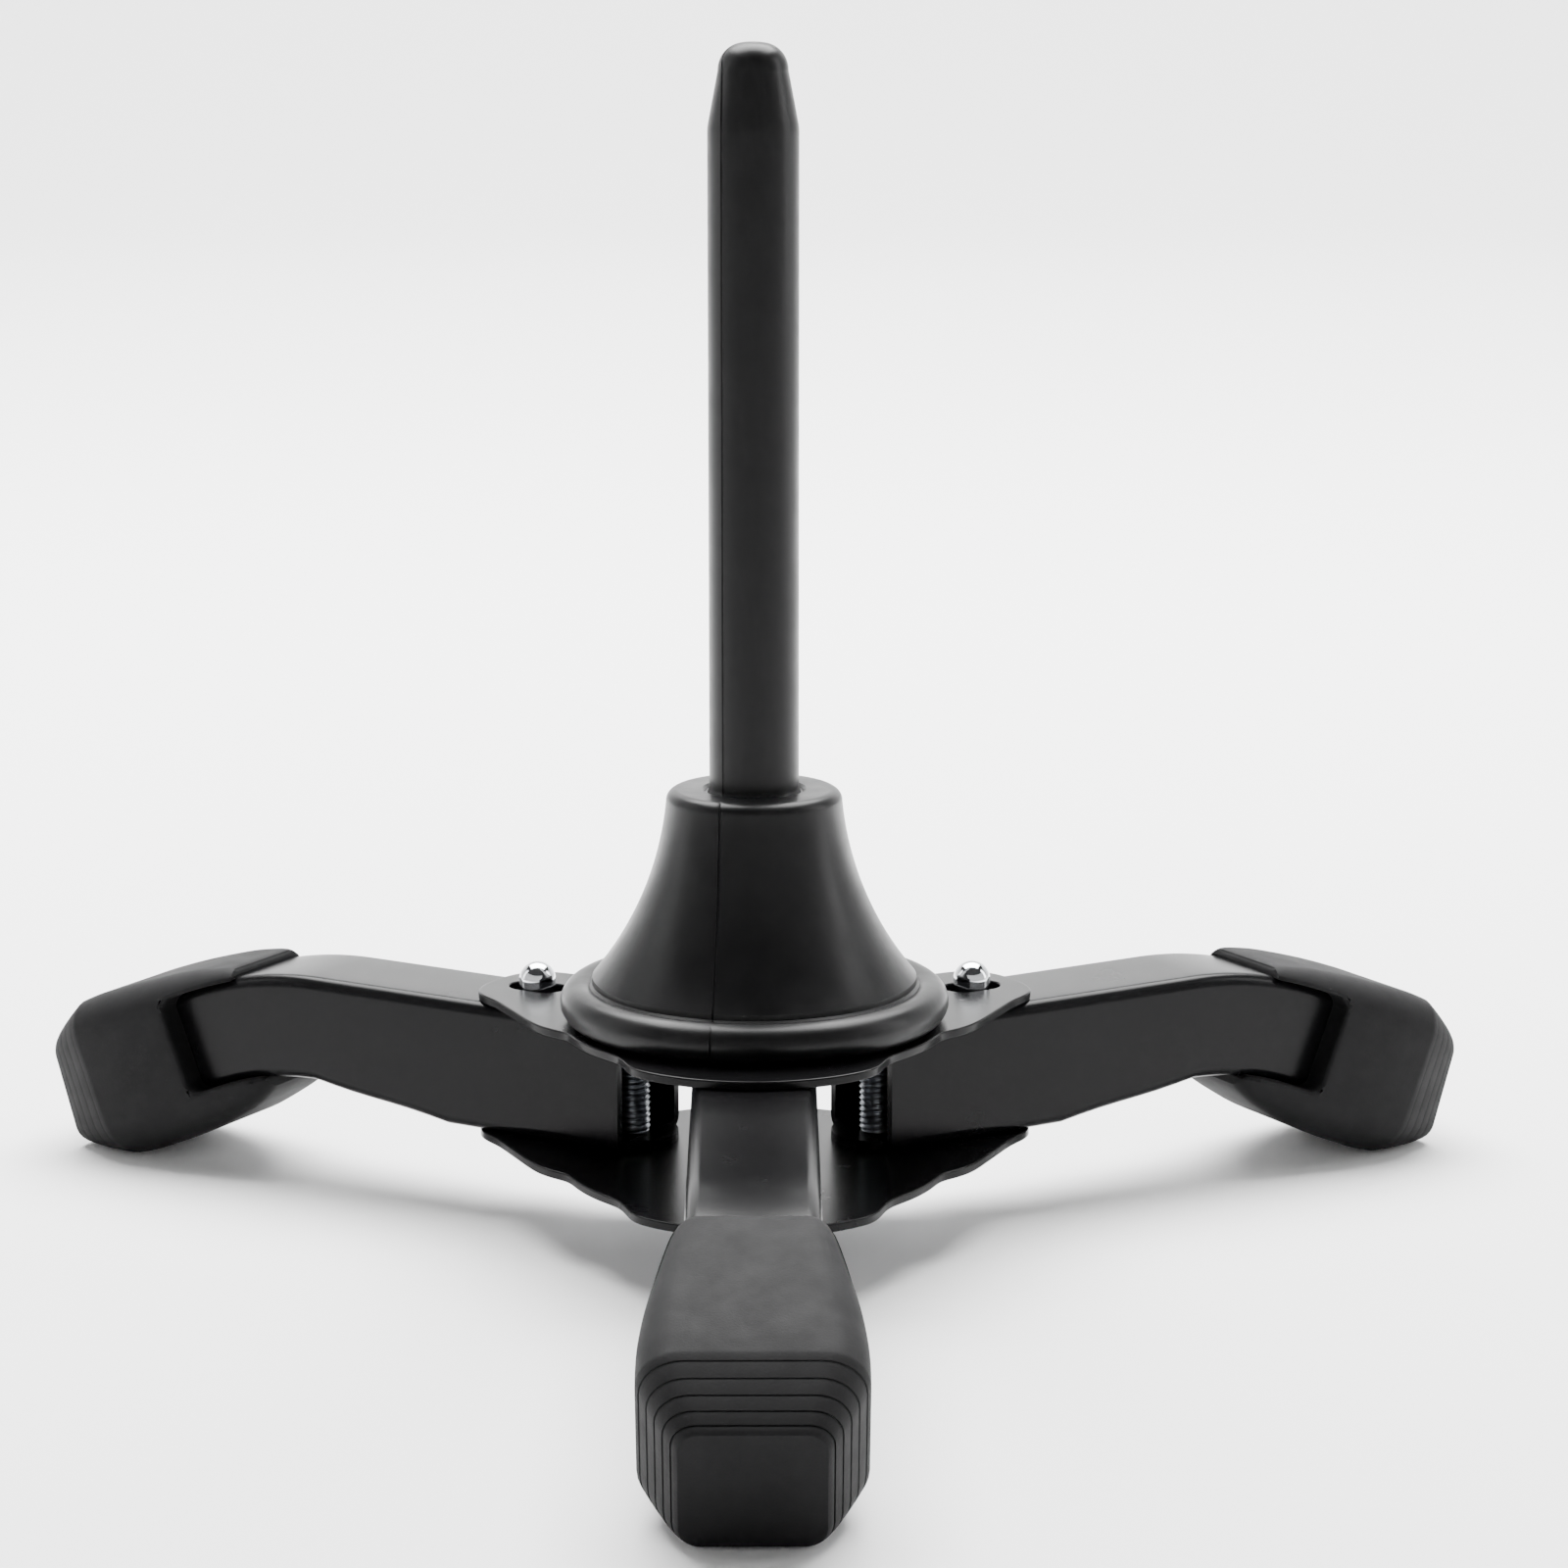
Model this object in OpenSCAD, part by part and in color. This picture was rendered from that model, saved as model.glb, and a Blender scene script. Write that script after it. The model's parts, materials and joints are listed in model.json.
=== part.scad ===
// Folding peg stand: one tapered peg on a bell, a hub of two plates, a fixed front leg and
// two side legs that swing forward about upright bolts and lock with sprung buttons.
// The floor is z = 0 and the peg's axis is the Z axis; the fixed leg points along -Y.

/* [Peg and bell] */
// Diameter of the peg's straight stretch
peg_d = 14.8; // [12:0.1:18]
// Length of the straight stretch above the bell
peg_len = 107.8; // [60:1:180]
// Length of the tapered tip, with its dome
tip_len = 13.6; // [8:0.1:24]
// Diameter where the taper meets the dome
tip_d = 11.4; // [7:0.1:11.8]
// Height of the dome
tip_dome = 3; // [1.5:0.1:4.5]
// Height of the bell above the top plate
bell_h = 39.2; // [34:0.1:50]
// Diameter of the bell's flat top
bell_top_d = 29.2; // [24:0.1:34]
// Diameter over the bell's rim bead
bell_rim_d = 64.8; // [63:0.1:72]
// Radius of the rim bead's section
rim_bead_r = 3.3; // [2.6:0.1:3.6]
// Radius of the hollow flank
flank_r = 54.7; // [48:0.1:70]
// Wall of the bell
bell_wall = 2.4; // [1.6:0.1:3]

/* [Hub plates] */
// Thickness of each plate
plate_t = 1.5; // [1:0.1:2.5]
// Space between the plates
plate_gap = 22.8; // [19:0.1:26]
// Reach of the side lobes from the axis
lobe_reach = 52; // [49:0.1:60]
// Width of a side lobe at its tip
lobe_w = 21.4; // [20:0.1:26]
// Reach of the front tongue from the axis
tongue_reach = 39.6; // [36:0.1:48]
// Distance of each leg's pivot from the axis
pivot_reach = 24; // [22:0.1:24.5]

/* [Legs] */
// Width of the leg tube
leg_w = 20; // [17:0.1:21]
// Height of the tube where it is bent
bend_h = 18.6; // [16:0.1:20]
// Wall of the tube
leg_wall = 1.5; // [1:0.1:2]
// Distance from the axis where the tube starts to grow slimmer
slim_start = 56; // [56:1:64]
// Distance from the axis where the bend starts
bend_start = 84; // [76:1:110]
// Radius of the bend along the tube's middle
bend_r = 62; // [50:1:90]
// Angle by which the end of the leg slopes down
droop = 22; // [16:0.5:26]
// Straight tube past the bend
end_len = 20; // [12:1:24]

/* [Fold and lock] */
// Angle that a side leg swings through
fold_deg = 114; // [90:1:114]
// Room over and under a folding leg
fold_play = 0.1; // [0.05:0.05:0.3]
// Diameter of the lock button
button_d = 6.35; // [5:0.05:7]
// Height of the button above the top plate
button_up = 4.4; // [3.6:0.1:5.7]
// Distance of the button from the axis
button_reach = 43.1; // [42:0.1:45]
// Length of the slot that the button stands in
slot_len = 10.3; // [8:0.1:11]

/* [Feet] */
// Width of a foot
foot_w = 32.6; // [28:0.1:34]
// Reach of the nose past the bend's end
foot_nose = 35.8; // [33:0.1:42]
// Height of the foot above the tube's middle
foot_top = 13.6; // [12.5:0.1:16]
// Depth of the foot below the tube's middle
foot_deep = 16.4; // [14:0.1:18]
// Number of steps in the nose
nose_steps = 5; // [3:1:6]

/* [Fasteners] */
// Diameter of the pivot bolts and the centre bolt
bolt_d = 6; // [5:0.5:6]
// Diameter of the front leg's bolts
small_bolt_d = 5; // [4:0.5:5]

/* [Hidden] */
$fn = 64;
eps = 0.01;

// directions of the legs about Z
front_az = 270;
left_az = 150;
right_az = 30;

// clearances
bolt_play = 0.05;       // radial, bolt in its holes
button_play = 0.08;     // radial, button in the tube's hole
slot_play = 0.2;        // each side, button in the plate's slot
fold_hole_play = 0.5;   // radial, button in the hole for the folded leg
head_play = 0.4;        // bolt head to the bell's wall
seat_gap = 0.05;        // spring below the button's flange

// heights counted from the top plate's top face
under_hub = -plate_gap - 2 * plate_t;
gap_floor = -plate_t - plate_gap;
gap_mid = -plate_t - plate_gap / 2;
tube_top = -plate_t - fold_play;
ceiling = tube_top - leg_wall;          // inside of a leg's top wall
bend_z = tube_top - bend_h / 2;

// end of the bend, where the leg slopes down
end_x = bend_start + bend_r * sin(droop);
end_z = bend_z - bend_r * (1 - cos(droop));

// side view of the foot: x along the sloping end of the tube, z square to it
lip_x = -10;            // where the foot's flaps start
lip_t = 1.7;            // thickness of the flaps at their edge
window_x = 4;           // where the side windows end
shoulder_x = 21;        // fullest point of the top
nose_x = foot_nose - 5.8;  // where the nose starts to step in
edge_r = 6.5;           // rounding of the foot's long edges
pad = [20.4, 16];       // width and height of the pad on the nose
pad_z = -2.8;           // middle of the pad
nose_top = 11;
nose_low = -13.4;
land_x = 28.2;          // middle of the flat that stands on the floor
land_z = -foot_deep + 1.8;
hub_z = land_x * sin(droop) - land_z * cos(droop) - end_z;

// fasteners
bolt_r = bolt_d / 2;
head_r = 4.8;
head_h = 2.2;
washer_t = 1;
centre_washer_t = 1.5;
rim_w = 3;              // width of the washers' and spacer's ring round a bolt
small_rim_w = 1.9;
centre_rim_w = 5;
nut_h = 5.6;
nut_af = 10;
small_r = small_bolt_d / 2;
small_head_r = 4.2;
small_nut_af = 8;
small_nut_h = 4.6;
small_bolts = [14.5, pivot_reach - 0.3];
thread_end = 1.5;       // thread past a nut
centre_head_h = 4;
insert_r = 4.2;
insert_len = 16;
bolt_past = 6;          // centre bolt past the insert
boss_r = 9;

// lock button and spring
button_r = button_d / 2;
flange_r = 4.6;
flange_t = 1.2;
strip_t = 0.8;
strip_w = 8;

function turn(p, c, a) = [
    c.x + (p.x - c.x) * cos(a) - (p.y - c.y) * sin(a),
    c.y + (p.x - c.x) * sin(a) + (p.y - c.y) * cos(a)];

// where the button stands once its leg is folded, in the frame of a leg along X
folded_button = turn([button_reach, 0], [pivot_reach, 0], fold_deg);

module on_hub() { translate([0, 0, hub_z]) children(); }
module along(az) { on_hub() rotate([0, 0, az]) children(); }

// ---- peg and bell ----

// centre of the arc that the bell's flank follows, through its top and its foot
crown_r = 2;            // rounding at the edge of the bell's flat top
flank_top = [bell_top_d / 2, bell_h - crown_r - 0.2];
flank_low = [bell_rim_d / 2 - 5.4, 7.5];
chord = flank_low - flank_top;
flank_mid = (flank_top + flank_low) / 2;
flank_c = flank_mid
    + [-chord.y, chord.x] / norm(chord) * sqrt(pow(flank_r, 2) - pow(norm(chord) / 2, 2));
bead_c = [bell_rim_d / 2 - rim_bead_r, rim_bead_r];

module bell_section() {
    difference() {
        polygon([[0, 0], [bead_c.x, 0], bead_c, flank_low, flank_top, [flank_top.x, bell_h - crown_r],
            [flank_top.x - crown_r, bell_h], [0, bell_h]]);
        translate(flank_c) circle(r = flank_r, $fn = 180);
    }
    translate([flank_top.x - crown_r, bell_h - crown_r]) circle(r = crown_r);
    translate(bead_c) circle(r = rim_bead_r);
}

module bell_hollow() {
    cavity_r = pivot_reach + head_r + head_play;
    cavity_top = bell_h - 12;
    inner_r = flank_r + bell_wall;
    difference() {
        polygon([[boss_r, -eps], [cavity_r, -eps], [cavity_r, head_h + 0.8], [flank_low.x - 1, 7.2],
            [flank_low.x - 2, cavity_top], [boss_r, cavity_top]]);
        translate(flank_c) circle(r = inner_r, $fn = 180);
    }
}

module peg_section() {
    shoulder = bell_h + peg_len;
    tip_top = shoulder + tip_len;
    dome_base = tip_top - tip_dome;
    dome_r = (pow(tip_d / 2, 2) + pow(tip_dome, 2)) / (2 * tip_dome);
    polygon([[0, 0], [peg_d / 2, 0], [peg_d / 2, shoulder], [tip_d / 2, dome_base], [0, dome_base]]);
    intersection() {
        translate([0, tip_top - dome_r]) circle(r = dome_r);
        translate([0, dome_base - eps]) square([tip_d / 2, tip_dome + 1]);
    }
}

module peg_and_bell() {
    color([0.06, 0.06, 0.065])
    on_hub() difference() {
        rotate_extrude() {
            bell_section();
            peg_section();
        }
        rotate_extrude() bell_hollow();
        translate([0, 0, -eps]) cylinder(r = insert_r, h = insert_len + eps);
        translate([0, 0, insert_len - eps]) cylinder(r = bolt_r + 0.4, h = 2 * bolt_past);
    }
}

module peg_insert() {
    color([0.72, 0.58, 0.3])
    on_hub() difference() {
        cylinder(r = insert_r, h = insert_len);
        translate([0, 0, -eps]) cylinder(r = bolt_r + bolt_play, h = insert_len + 2 * eps);
    }
}

// ---- hub ----

module rounded_rect(size, r) {
    square([size.x, size.y - 2 * r], center = true);
    square([size.x - 2 * r, size.y], center = true);
    for (i = [-1, 1], j = [-1, 1]) translate([i * (size.x / 2 - r), j * (size.y / 2 - r)]) circle(r = r);
}

// a side lobe along X, with its flare on the side that the leg folds to
module lobe() {
    tip_r = 7;
    half = lobe_w / 2;
    flare_start = lobe_reach - 6;
    flare_full = lobe_reach - 22.3;
    flare_out = 12.8;   // how far the flare reaches past the lobe's edge at the pivot
    flare = [[flare_start, half - 0.5], [flare_full, half + flare_out - 1.8],
        [pivot_reach, half + flare_out]];
    translate([lobe_reach - tip_r * 2, 0]) rounded_rect([tip_r * 4, lobe_w], tip_r);
    polygon(concat([[0, 0], [0, -half], [lobe_reach - tip_r * 2, -half]], flare));
}

// the left side's shape, and its mirror image on the right
module on_both_sides() {
    rotate(left_az) children();
    mirror([1, 0]) rotate(left_az) children();
}

module plate_outline() {
    tongue_r = 28;
    root = [24.5, -14];             // where the tongue's sides leave the round
    tip = [17.5, -tongue_reach];    // where they meet its rounded end
    circle(r = bell_rim_d / 2 - 0.2);
    on_both_sides() lobe();
    intersection() {
        translate([0, tongue_r - tongue_reach]) circle(r = tongue_r);
        polygon([root, [-root.x, root.y], [-tip.x, tip.y], tip]);
    }
}

module hub_holes() {
    circle(r = bolt_r + bolt_play);
    on_both_sides() translate([pivot_reach, 0]) circle(r = bolt_r + bolt_play);
    for (r = small_bolts) rotate(front_az) translate([r, 0]) circle(r = small_r + bolt_play);
}

// the lock button's slot, and the hole that it finds when the leg is folded
module lock_holes() {
    slot_r = button_r + slot_play;
    half = slot_len / 2 - slot_r;
    translate([button_reach, 0]) {
        for (dx = [-half, half]) translate([dx, 0]) circle(r = slot_r);
        square([2 * half, 2 * slot_r], center = true);
    }
    translate(folded_button) circle(r = button_r + fold_hole_play);
}

module top_plate() {
    color([0.07, 0.07, 0.075])
    on_hub() translate([0, 0, -plate_t]) linear_extrude(plate_t) difference() {
        plate_outline();
        hub_holes();
        on_both_sides() lock_holes();
    }
}

module bottom_plate() {
    color([0.07, 0.07, 0.075])
    on_hub() translate([0, 0, under_hub]) linear_extrude(plate_t) difference() {
        plate_outline();
        hub_holes();
    }
}

module centre_spacer() {
    color("silver")
    on_hub() translate([0, 0, gap_floor]) difference() {
        cylinder(r = bolt_r + rim_w, h = plate_gap);
        translate([0, 0, -eps]) cylinder(r = bolt_r + bolt_play, h = plate_gap + 2 * eps);
    }
}

// ---- leg tube, along X, heights from the top plate's top face ----

module at_end() { translate([end_x, 0, end_z]) rotate([0, droop, 0]) children(); }

// extrudes a side view, drawn with x along the leg and y up, to a width across the leg
module across(width) { rotate([90, 0, 0]) linear_extrude(width, center = true) children(); }

// side view of the bend and the straight end past it
module end_side(h, len) {
    mid = [bend_start, bend_z - bend_r];
    far = 1.4 * bend_r;
    lap = 0.5;      // the straight end starts inside the bend
    intersection() {
        difference() {
            translate(mid) circle(r = bend_r + h / 2, $fn = 180);
            translate(mid) circle(r = bend_r - h / 2, $fn = 180);
        }
        polygon([mid, for (a = [90 - droop, 90]) mid + far * [cos(a), sin(a)]]);
    }
    translate([end_x, end_z]) rotate(-droop) translate([-lap, -h / 2]) square([len + lap, h]);
}

// the tube of a leg, with its underside at low where it leaves the hub and level on top as far
// as the bend; inset gives the tube's bore, which runs on past both ends
module tube_shape(start, low, inset = 0, past = 0) {
    h = bend_h - 2 * inset;
    across(leg_w - 2 * inset) {
        polygon([[start - past, low + inset], [slim_start, low + inset], [bend_start, bend_z - h / 2],
            [bend_start, bend_z + h / 2], [start - past, tube_top - inset]]);
        end_side(h, end_len + past);
    }
}

module front_leg() {
    start = small_bolts[0] - 6;
    color([0.06, 0.06, 0.065])
    along(front_az) difference() {
        tube_shape(start, gap_floor);
        tube_shape(start, gap_floor, leg_wall, 1);
        for (r = small_bolts) translate([r, 0, under_hub])
            cylinder(r = small_r + bolt_play, h = -under_hub);
    }
}

module folding_leg(az) {
    low = gap_floor + fold_play;
    ear_r = leg_w / 2 - leg_wall - 0.7;
    start = pivot_reach - 3.1;
    color([0.06, 0.06, 0.065])
    along(az) difference() {
        union() {
            difference() {
                tube_shape(start, low);
                tube_shape(start, low, leg_wall, 1);
            }
            // the top and bottom walls run on as round ears about the pivot
            for (z = [ceiling, low]) translate([pivot_reach, 0, z]) {
                cylinder(r = ear_r, h = leg_wall);
                translate([0, -ear_r, 0]) cube([5, 2 * ear_r, leg_wall]);
            }
        }
        translate([pivot_reach, 0, under_hub]) cylinder(r = bolt_r + bolt_play, h = -under_hub);
        translate([button_reach, 0, gap_mid]) cylinder(r = button_r + button_play, h = plate_gap);
    }
}

module left_leg() { folding_leg(left_az); }
module right_leg() { folding_leg(right_az); }

// ---- feet ----

module foot_side() {
    // the flat that stands on the floor lies level once the foot slopes down
    land = 2.4 * [1, tan(droop)];
    mid = [land_x, land_z];
    polygon([[lip_x, bend_h / 2 - 1 + lip_t], [window_x, foot_top - 0.9], [shoulder_x, foot_top],
        [nose_x, nose_top], [nose_x, nose_low], mid + land, mid - land, [22, -foot_deep],
        [8, -foot_deep], [lip_x + 7, -foot_deep + 2], [lip_x, -bend_h / 2 - 1.3 - lip_t]]);
}

module foot_plan() {
    half = foot_w / 2;
    edge = leg_w / 2 + 0.3;
    polygon([[lip_x, edge], [lip_x + 3, edge + 1.5], [18, half], [nose_x, half],
        [nose_x, -half], [18, -half], [lip_x + 3, -edge - 1.5], [lip_x, -edge]]);
}

// one of the plates that step the nose in towards its pad
module nose_step(i) {
    k = (i + 1) / nose_steps;
    full = [foot_w, nose_top - nose_low];
    size = full + (pad - full) * k;
    mid = (nose_top + nose_low) / 2 * (1 - k) + pad_z * k;
    thick = (foot_nose - nose_x) / nose_steps;
    translate([nose_x + thick * i - eps, 0, mid]) rotate([90, 0, 90])
        linear_extrude(thick + eps) rounded_rect(size, edge_r - 3.5 * k);
}

module foot(az) {
    color([0.09, 0.09, 0.095])
    along(az) difference() {
        at_end() union() {
            intersection() {
                across(foot_w + 2) foot_side();
                translate([0, 0, -2 * foot_deep]) linear_extrude(4 * foot_deep) foot_plan();
                translate([lip_x - 1, 0, (foot_top - foot_deep) / 2]) rotate([90, 0, 90])
                    linear_extrude(nose_x - lip_x + 2)
                        rounded_rect([foot_w, foot_top + foot_deep + 2], edge_r);
            }
            for (i = [0:nose_steps - 1]) nose_step(i);
        }
        // the tube fills the foot, and the windows bare its sides
        across(leg_w) end_side(bend_h, end_len);
        across(foot_w + 2) end_side(bend_h - 1, window_x);
    }
}

module front_foot() { foot(front_az); }
module left_foot() { foot(left_az); }
module right_foot() { foot(right_az); }

// ---- fasteners ----

module hex_nut(af, h, bore) {
    difference() {
        union() {
            cylinder(r = af / 2 / cos(30), h = h * 0.78, $fn = 6);
            cylinder(r = af / 2 * 0.88, h = h);
        }
        translate([0, 0, -eps]) cylinder(r = bore, h = h + 2 * eps);
    }
}

// bolt through the hub from the top face down, with a low socket head
module hub_bolt(r, cap_r, len) {
    difference() {
        union() {
            translate([0, 0, -len]) cylinder(r = r, h = len);
            cylinder(r = cap_r, h = head_h * 0.55);
            translate([0, 0, head_h * 0.55 - eps]) cylinder(r1 = cap_r, r2 = cap_r * 0.72, h = head_h * 0.45);
        }
        translate([0, 0, head_h - 1.3]) cylinder(r = r * 0.72, h = 2, $fn = 6);
    }
}

pivot_len = -under_hub + washer_t + nut_h + thread_end;
small_len = -under_hub + washer_t + small_nut_h + thread_end;

module washer(outer, bore, t) {
    translate([0, 0, -t]) difference() {
        cylinder(r = outer, h = t);
        translate([0, 0, -eps]) cylinder(r = bore, h = t + 2 * eps);
    }
}

module pivot_bolt(az) {
    color("silver") along(az) translate([pivot_reach, 0, 0]) hub_bolt(bolt_r, head_r, pivot_len);
}

module pivot_washer(az) {
    color("silver") along(az) translate([pivot_reach, 0, under_hub])
        washer(bolt_r + rim_w, bolt_r + bolt_play, washer_t);
}

module pivot_nut(az) {
    color("silver") along(az) translate([pivot_reach, 0, under_hub - washer_t]) mirror([0, 0, 1])
        hex_nut(nut_af, nut_h, bolt_r + bolt_play);
}

module left_pivot_bolt() { pivot_bolt(left_az); }
module right_pivot_bolt() { pivot_bolt(right_az); }
module left_pivot_washer() { pivot_washer(left_az); }
module right_pivot_washer() { pivot_washer(right_az); }
module left_pivot_nut() { pivot_nut(left_az); }
module right_pivot_nut() { pivot_nut(right_az); }

module front_leg_bolts() {
    color("silver") along(front_az) for (r = small_bolts) translate([r, 0, 0])
        hub_bolt(small_r, small_head_r, small_len);
}

module front_leg_washers() {
    color("silver") along(front_az) for (r = small_bolts) translate([r, 0, under_hub])
        washer(small_r + small_rim_w, small_r + bolt_play, washer_t);
}

module front_leg_nuts() {
    color("silver") along(front_az) for (r = small_bolts) translate([r, 0, under_hub - washer_t])
        mirror([0, 0, 1]) rotate([0, 0, 30]) hex_nut(small_nut_af, small_nut_h, small_r + bolt_play);
}

module centre_washer() {
    color("silver") on_hub() translate([0, 0, under_hub])
        washer(bolt_r + centre_rim_w, bolt_r + bolt_play, centre_washer_t);
}

module centre_bolt() {
    base = under_hub - centre_washer_t;
    color("silver") on_hub() {
        translate([0, 0, base - centre_head_h])
            cylinder(r = nut_af / 2 / cos(30), h = centre_head_h, $fn = 6);
        translate([0, 0, base - eps]) cylinder(r = bolt_r, h = insert_len + bolt_past - base + eps);
    }
}

// ---- lock buttons and springs ----

module lock_button(az) {
    color([0.85, 0.85, 0.87])
    along(az) translate([button_reach, 0, 0]) {
        translate([0, 0, ceiling - flange_t]) cylinder(r = flange_r, h = flange_t);
        translate([0, 0, ceiling - eps]) cylinder(r = button_r, h = button_up - button_r - ceiling + eps);
        translate([0, 0, button_up - button_r]) sphere(r = button_r);
    }
}

// a hairpin of spring strip: one arm on the tube's floor, the other under the button
module lock_spring(az) {
    floor_z = gap_floor + fold_play + leg_wall + seat_gap;
    top_z = ceiling - flange_t - seat_gap;
    loop_r = 4.5;
    front = button_reach - flange_r + 0.6;  // free end of the upper arm
    rim = button_reach + flange_r;
    back = rim + 8.4;
    mid = [back, floor_z + loop_r];
    turns = [-90:7.5:90];
    outside = [for (a = turns) mid + loop_r * [cos(a), sin(a)]];
    inside = [for (a = turns) mid + (loop_r - strip_t) * [cos(a), -sin(a)]];
    over = [[rim, top_z], [front, top_z], [front, top_z - strip_t], [rim, top_z - strip_t]];
    color([0.6, 0.6, 0.62]) along(az) across(strip_w)
        polygon(concat([[front, floor_z]], outside, over, inside, [[front, floor_z + strip_t]]));
}

module left_lock_button() { lock_button(left_az); }
module right_lock_button() { lock_button(right_az); }
module left_lock_spring() { lock_spring(left_az); }
module right_lock_spring() { lock_spring(right_az); }

peg_and_bell();
peg_insert();
centre_bolt();
centre_washer();
centre_spacer();
top_plate();
bottom_plate();
front_leg();
left_leg();
right_leg();
front_foot();
left_foot();
right_foot();
left_pivot_bolt();
right_pivot_bolt();
left_pivot_washer();
right_pivot_washer();
left_pivot_nut();
right_pivot_nut();
front_leg_bolts();
front_leg_washers();
front_leg_nuts();
left_lock_button();
right_lock_button();
left_lock_spring();
right_lock_spring();
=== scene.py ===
import json
import math

import bmesh
import bpy
from mathutils import Matrix, Vector


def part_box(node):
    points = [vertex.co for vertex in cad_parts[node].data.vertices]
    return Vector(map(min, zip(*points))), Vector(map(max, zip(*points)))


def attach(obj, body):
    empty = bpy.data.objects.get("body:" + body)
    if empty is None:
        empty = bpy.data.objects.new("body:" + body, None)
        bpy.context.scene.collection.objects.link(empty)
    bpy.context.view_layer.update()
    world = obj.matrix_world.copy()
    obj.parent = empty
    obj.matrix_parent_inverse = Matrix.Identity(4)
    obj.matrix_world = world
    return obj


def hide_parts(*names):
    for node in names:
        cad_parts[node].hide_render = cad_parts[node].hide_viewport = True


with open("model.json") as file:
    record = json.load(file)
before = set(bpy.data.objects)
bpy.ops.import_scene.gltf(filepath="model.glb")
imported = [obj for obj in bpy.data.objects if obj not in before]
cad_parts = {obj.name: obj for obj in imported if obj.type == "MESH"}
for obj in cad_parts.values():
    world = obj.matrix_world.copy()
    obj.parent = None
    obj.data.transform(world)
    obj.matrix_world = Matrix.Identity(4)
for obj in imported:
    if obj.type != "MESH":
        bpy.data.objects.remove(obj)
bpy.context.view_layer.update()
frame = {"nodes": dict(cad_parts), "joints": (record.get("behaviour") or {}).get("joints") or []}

bl_info = {
    "name": "Instrument Peg Stand",
    "version": (1, 0, 0),
    "blender": (4, 5, 0),
    "location": "View3D > Sidebar > Peg Stand",
    "description": "Builds the looks of a folding instrument peg stand around its CAD frame",
    "category": "Object",
}

MM = 0.001

# ---- what the frame gives, in millimetres ----

HUB_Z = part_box("top_plate")[1].z / MM           # top face of the top plate
PLATE_T = HUB_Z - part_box("top_plate")[0].z / MM
UNDER_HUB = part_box("bottom_plate")[0].z / MM - HUB_Z
GAP_FLOOR = UNDER_HUB + PLATE_T
PEG_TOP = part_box("peg_and_bell")[1].z / MM - HUB_Z
RIM_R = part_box("peg_and_bell")[1].x / MM
PIVOT_REACH = math.hypot(*[c / MM for c in frame["joints"][0]["pos_m"][:2]])

# directions of the legs about the peg, in degrees
FRONT, LEFT, RIGHT = 270, 150, 30
SIDES = (("left", LEFT), ("right", RIGHT))

# the leg tube: its width, its height past the hub, its wall, and its bend
LEG_W = 20.0
BEND_H = 18.6
LEG_WALL = 1.5
SLIM_START = 56.0
BEND_START = 84.0
BEND_R = 62.0
DROOP = 22.0
END_LEN = 20.0
FOLD_PLAY = 0.1
FRONT_TUBE_START = 8.5
SIDE_TUBE_BACK = 3.1    # how far behind its pivot a side leg's tube starts
TUBE_TOP = -PLATE_T - FOLD_PLAY
BEND_Z = TUBE_TOP - BEND_H / 2
END_X = BEND_START + BEND_R * math.sin(math.radians(DROOP))
END_Z = BEND_Z - BEND_R * (1 - math.cos(math.radians(DROOP)))

# the shanks of the pivot and centre bolts and of the front leg's, and the play about them
BOLT_R = 3.0
FRONT_BOLT_R = 2.5
BORE_PLAY = 0.05
BORE_R = BOLT_R + BORE_PLAY
FRONT_BORE_R = FRONT_BOLT_R + BORE_PLAY


def linear(hex_colour):
    """Turns an sRGB hex colour into the linear colour that Blender works in."""
    parts = [int(hex_colour[i:i + 2], 16) / 255 for i in (1, 3, 5)]
    return tuple(p / 12.92 if p <= 0.04045 else ((p + 0.055) / 1.055) ** 2.4 for p in parts)


# ---- what a user may change ----

def colour(name, description, hex_colour):
    return bpy.props.FloatVectorProperty(
        name=name, description=description, subtype="COLOR", size=3, min=0, max=1,
        default=linear(hex_colour))


def size(name, description, millimetres):
    return bpy.props.FloatProperty(
        name=name, description=description, subtype="DISTANCE", unit="LENGTH",
        min=0, default=millimetres * MM, precision=5)


class PegStandSizes(bpy.types.PropertyGroup):
    seam_depth: size("Seam depth", "How deep the mould's parting line is", 0.22)
    seam_width: size("Seam width", "Half the width of the parting line", 0.22)
    tube_corner: size("Tube corner", "Outer radius of the leg tube's corners", 2.2)
    plate_edge: size("Plate edge", "Rounding of the punched plates' edges", 0.3)
    rib_depth: size("Rib depth", "Depth of the grooves round a foot's nose", 0.4)
    lip_round: size("Lip rounding", "Rounding of the edges of a foot's windows", 0.75)
    thread_depth: size("Thread depth", "Depth of the bolts' threads", 0.38)
    thread_pitch: size("Thread pitch", "Pitch of the bolts' threads", 1.0)


class PegStandColours(bpy.types.PropertyGroup):
    moulding: colour("Peg and bell", "Black moulded plastic", "#0c0c0d")
    paint: colour("Plates and legs", "Black stoved paint", "#080809")
    rubber: colour("Feet", "Black moulded rubber", "#0e0e0f")
    chrome: colour("Buttons", "Polished chrome plate", "#dfe1e4")
    zinc: colour("Bolts and nuts", "Bright zinc plate", "#a8acb1")
    spring: colour("Springs", "Blued spring strip", "#6d7076")
    brass: colour("Insert", "Turned brass", "#b9954f")
    floor: colour("Floor", "Plain pale sweep", "#f4f4f4")


# ---- materials ----

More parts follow.
